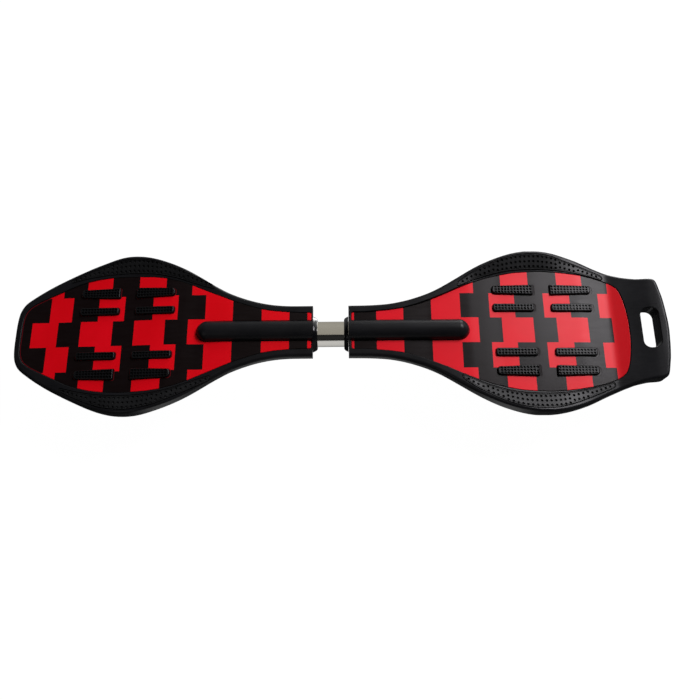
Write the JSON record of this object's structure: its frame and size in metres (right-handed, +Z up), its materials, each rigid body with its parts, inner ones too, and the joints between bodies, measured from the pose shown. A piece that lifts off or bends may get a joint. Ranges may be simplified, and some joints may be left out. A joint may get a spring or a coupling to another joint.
{
  "type": "caster board",
  "caption": "Caster board: two hourglass decks joined by a sprung torsion tube, each deck on one inclined trailing caster wheel, with a carry handle in the tail.",
  "frame": {"origin": "centre of the bounding box on the floor plane that both wheels stand on", "axes": "+X from the nose to the tail, which has the handle, +Y to the rider's right when facing the nose, +Z up"},
  "size_m": [0.8698, 0.228, 0.114],
  "materials": {
    "shell": "satin moulded black",
    "panel": "printed red and black, satin gloss",
    "grip": "matte black, dimpled",
    "pad": "matte black, studded",
    "collar": "gloss black",
    "chrome": "polished",
    "steel": "zinc plated",
    "fork": "satin black",
    "tyre": "smooth urethane",
    "hub": "moulded white",
    "plug": "moulded dark grey"
  },
  "bodies": {
    "nose_deck": {"nose_deck_shell": "shell", "nose_deck_panel": "panel", "nose_side_grip_left": "grip", "nose_side_grip_right": "grip", "nose_pad_front_left": "pad", "nose_pad_front_right": "pad", "nose_pad_rear_left": "pad", "nose_pad_rear_right": "pad", "nose_collar": "collar", "torsion_tube": "chrome", "nose_clamp_bolt": "fork", "nose_plug_bolt": "fork", "nose_end_plug": "plug", "nose_mount_plate": "steel", "nose_plate_screw_1": "steel", "nose_plate_screw_2": "steel", "nose_plate_screw_3": "steel", "nose_plate_screw_4": "steel", "nose_kingpin": "steel", "nose_kingpin_nut": "steel"},
    "tail_deck": {"tail_deck_shell": "shell", "tail_deck_panel": "panel", "tail_side_grip_left": "grip", "tail_side_grip_right": "grip", "tail_pad_front_left": "pad", "tail_pad_front_right": "pad", "tail_pad_rear_left": "pad", "tail_pad_rear_right": "pad", "tail_collar": "collar", "torsion_rod": "steel", "tail_stop_bolt": "fork", "tail_plug_bolt": "fork", "tail_end_plug": "plug", "tail_mount_plate": "steel", "tail_plate_screw_1": "steel", "tail_plate_screw_2": "steel", "tail_plate_screw_3": "steel", "tail_plate_screw_4": "steel", "tail_kingpin": "steel", "tail_kingpin_nut": "steel"},
    "nose_caster": {"nose_fork": "fork", "nose_thrust_bearing": "steel", "nose_axle_bolt": "steel", "nose_axle_nut": "steel", "nose_bearing_spacer": "steel"},
    "nose_wheel": {"nose_wheel_tyre": "tyre", "nose_wheel_hub": "hub", "nose_wheel_bearing_left": "chrome", "nose_wheel_bearing_right": "chrome"},
    "tail_caster": {"tail_fork": "fork", "tail_thrust_bearing": "steel", "tail_axle_bolt": "steel", "tail_axle_nut": "steel", "tail_bearing_spacer": "steel"},
    "tail_wheel": {"tail_wheel_tyre": "tyre", "tail_wheel_hub": "hub", "tail_wheel_bearing_left": "chrome", "tail_wheel_bearing_right": "chrome"}
  },
  "joints": [
    {"name": "deck_twist", "type": "hinge", "parent": "nose_deck", "child": "tail_deck", "pos_m": [0, 0, 0.0865], "axis": [1, 0, 0], "range_deg": [-30, 30], "stiffness_Nm_per_rad": 8},
    {"name": "nose_caster_swivel", "type": "hinge", "parent": "nose_deck", "child": "nose_caster", "pos_m": [-0.3101, 0, 0.07463], "axis": [-0.5, 0, 0.866], "continuous": true},
    {"name": "nose_wheel_spin", "type": "hinge", "parent": "nose_caster", "child": "nose_wheel", "pos_m": [-0.26355, 0, 0.038], "axis": [0, 1, 0], "continuous": true},
    {"name": "tail_caster_swivel", "type": "hinge", "parent": "tail_deck", "child": "tail_caster", "pos_m": [0.2249, 0, 0.07463], "axis": [-0.5, 0, 0.866], "continuous": true},
    {"name": "tail_wheel_spin", "type": "hinge", "parent": "tail_caster", "child": "tail_wheel", "pos_m": [0.27145, 0, 0.038], "axis": [0, 1, 0], "continuous": true}
  ]
}
